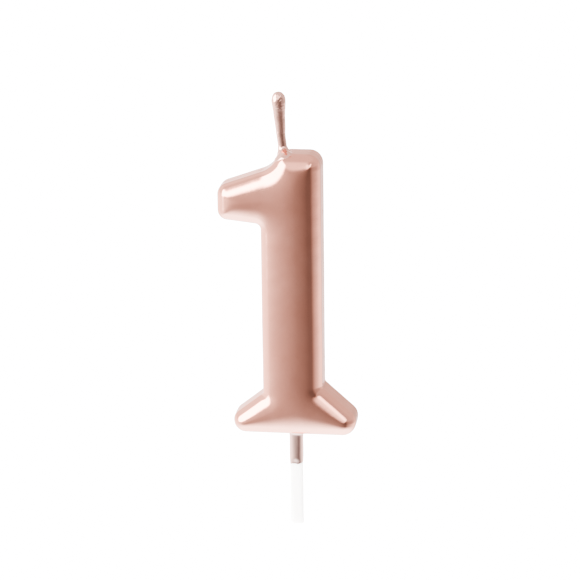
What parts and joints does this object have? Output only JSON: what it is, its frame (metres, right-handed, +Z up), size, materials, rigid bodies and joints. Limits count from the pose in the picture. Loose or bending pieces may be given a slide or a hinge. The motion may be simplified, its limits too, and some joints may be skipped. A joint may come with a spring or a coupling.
{
  "type": "number birthday candle",
  "caption": "Moulded wax number 1 on a barbed plastic cake pick, with a plaited wick, dipped in a metallic rose-gold lacquer.",
  "frame": {"origin": "on the pick's axis, at the flat underside of the digit, where the top of a cake comes to", "axes": "+Z up along the pick towards the wick, +X to the right seen from the front, and the digit reads correctly from -Y"},
  "size_m": [0.033, 0.012, 0.1086],
  "materials": {
    "wax": "paraffin wax, off-white, slightly translucent",
    "lacquer": "metallic rose-gold lacquer, high gloss",
    "cotton": "plaited cotton yarn, waxed",
    "pick_plastic": "natural white plastic, slightly translucent"
  },
  "bodies": {
    "candle": {"wax_body": "wax", "body_lacquer": "lacquer", "wick_strand_1": "cotton", "wick_strand_2": "cotton", "wick_strand_3": "cotton", "wick_wax": "wax", "wick_lacquer": "lacquer", "pick": "pick_plastic", "pick_lacquer": "lacquer"}
  },
  "joints": []
}
